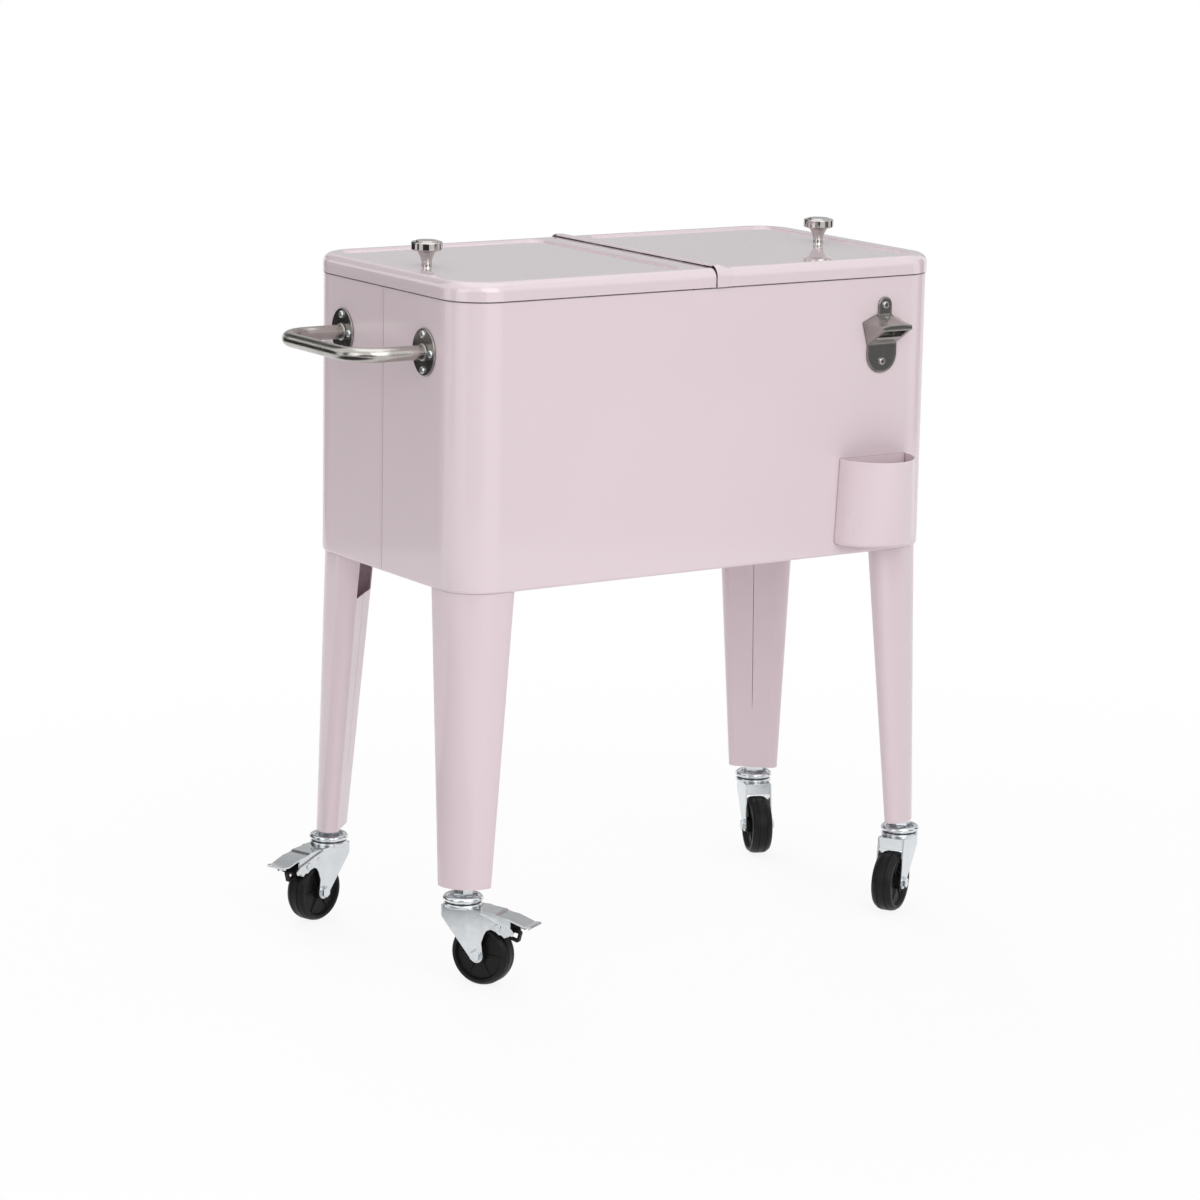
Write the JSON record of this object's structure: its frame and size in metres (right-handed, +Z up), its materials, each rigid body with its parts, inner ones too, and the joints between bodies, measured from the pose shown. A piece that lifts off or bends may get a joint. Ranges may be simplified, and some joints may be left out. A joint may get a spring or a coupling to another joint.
{
  "type": "rolling patio cooler",
  "caption": "Insulated steel drinks cooler on tapered legs with swivel casters, flap lids with knobs, end handle, bottle opener and cap catcher.",
  "frame": {"origin": "middle of the overall base, on the floor under the cooler", "axes": "+X to the right along the body's length, +Z up, front (opener and cap catcher) towards -Y"},
  "size_m": [0.7374, 0.406, 0.7976],
  "materials": {
    "body_paint": "gloss powder coat",
    "lid_paint": "high gloss",
    "zinc": "bright zinc plate",
    "stainless": "brushed",
    "chrome": "polished",
    "bar_steel": "satin",
    "black_plastic": "moulded",
    "wheel_black": "satin moulded",
    "liner_white": "satin moulded",
    "foam": "matte foam",
    "rubber": "matte"
  },
  "bodies": {
    "cooler_body": {"front_shell": "body_paint", "back_shell": "body_paint", "bottom_pan": "body_paint", "foam_core": "foam", "inner_liner": "liner_white", "rim_gasket": "rubber", "centre_crossbar": "bar_steel", "left_hinge_pin": "bar_steel", "right_hinge_pin": "bar_steel", "bottle_opener": "stainless", "cap_catcher": "body_paint", "front_screws": "stainless", "left_handle": "stainless", "handle_plates": "stainless", "handle_screws": "stainless", "drain_fitting": "black_plastic", "drain_gasket": "rubber", "drain_nut": "black_plastic", "leg_bolts": "zinc", "leg_nuts": "zinc", "caster_sockets": "zinc", "front_left_leg": "body_paint", "front_right_leg": "body_paint", "back_left_leg": "body_paint", "back_right_leg": "body_paint", "front_left_stem": "zinc", "front_right_stem": "zinc", "back_left_stem": "zinc", "back_right_stem": "zinc"},
    "left_lid": {"left_lid_skin": "lid_paint", "left_lid_liner": "liner_white", "left_lid_foam": "foam", "left_hinge_leaf": "bar_steel", "left_knob": "chrome", "left_knob_screw": "zinc"},
    "right_lid": {"right_lid_skin": "lid_paint", "right_lid_liner": "liner_white", "right_lid_foam": "foam", "right_hinge_leaf": "bar_steel", "right_knob": "chrome", "right_knob_screw": "zinc"},
    "front_left_caster": {"front_left_fork": "zinc", "front_left_axle": "zinc"},
    "front_left_wheel": {"front_left_wheel": "wheel_black"},
    "front_left_brake": {"front_left_brake_pedal": "zinc", "front_left_brake_pad": "black_plastic"},
    "front_right_caster": {"front_right_fork": "zinc", "front_right_axle": "zinc"},
    "front_right_wheel": {"front_right_wheel": "wheel_black"},
    "back_left_caster": {"back_left_fork": "zinc", "back_left_axle": "zinc"},
    "back_left_wheel": {"back_left_wheel": "wheel_black"},
    "back_left_brake": {"back_left_brake_pedal": "zinc", "back_left_brake_pad": "black_plastic"},
    "back_right_caster": {"back_right_fork": "zinc", "back_right_axle": "zinc"},
    "back_right_wheel": {"back_right_wheel": "wheel_black"},
    "drain_cap": {"drain_cap": "black_plastic"}
  },
  "joints": [
    {"name": "left_lid_hinge", "type": "hinge", "parent": "cooler_body", "child": "left_lid", "pos_m": [0.04296, 0.03119, 0.7678], "axis": [0, 1, 0], "range_deg": [0, 80]},
    {"name": "right_lid_hinge", "type": "hinge", "parent": "cooler_body", "child": "right_lid", "pos_m": [0.05096, 0.03119, 0.7717], "axis": [0, -1, 0], "range_deg": [0, 80]},
    {"name": "front_left_swivel", "type": "hinge", "parent": "cooler_body", "child": "front_left_caster", "pos_m": [-0.25699, -0.11706, 0.086], "axis": [0, 0, 1], "continuous": true},
    {"name": "front_left_spin", "type": "hinge", "parent": "front_left_caster", "child": "front_left_wheel", "pos_m": [-0.24439, -0.1398, 0.035], "axis": [0.8746, 0.4848, 0], "continuous": true},
    {"name": "front_left_brake_press", "type": "hinge", "parent": "front_left_caster", "child": "front_left_brake", "pos_m": [-0.23978, -0.14811, 0.0755], "axis": [0.8746, 0.4848, 0], "range_deg": [0, 6.5]},
    {"name": "front_right_swivel", "type": "hinge", "parent": "cooler_body", "child": "front_right_caster", "pos_m": [0.34451, -0.11706, 0.086], "axis": [0, 0, 1], "continuous": true},
    {"name": "front_right_spin", "type": "hinge", "parent": "front_right_caster", "child": "front_right_wheel", "pos_m": [0.32246, -0.13084, 0.035], "axis": [0.5299, -0.848, 0], "continuous": true},
    {"name": "back_left_swivel", "type": "hinge", "parent": "cooler_body", "child": "back_left_caster", "pos_m": [-0.25699, 0.17944, 0.086], "axis": [0, 0, 1], "continuous": true},
    {"name": "back_left_spin", "type": "hinge", "parent": "back_left_caster", "child": "back_left_wheel", "pos_m": [-0.28158, 0.17097, 0.035], "axis": [0.3256, -0.9455, 0], "continuous": true},
    {"name": "back_left_brake_press", "type": "hinge", "parent": "back_left_caster", "child": "back_left_brake", "pos_m": [-0.29056, 0.16788, 0.0755], "axis": [0.3256, -0.9455, 0], "range_deg": [0, 6.5]},
    {"name": "back_right_swivel", "type": "hinge", "parent": "cooler_body", "child": "back_right_caster", "pos_m": [0.34451, 0.17944, 0.086], "axis": [0, 0, 1], "continuous": true},
    {"name": "back_right_spin", "type": "hinge", "parent": "back_right_caster", "child": "back_right_wheel", "pos_m": [0.33477, 0.15533, 0.035], "axis": [0.9272, -0.3746, 0], "continuous": true},
    {"name": "drain_cap_pull", "type": "slide", "parent": "cooler_body", "child": "drain_cap", "axis": [0, 0, -1], "range_m": [0, 0.025]}
  ]
}
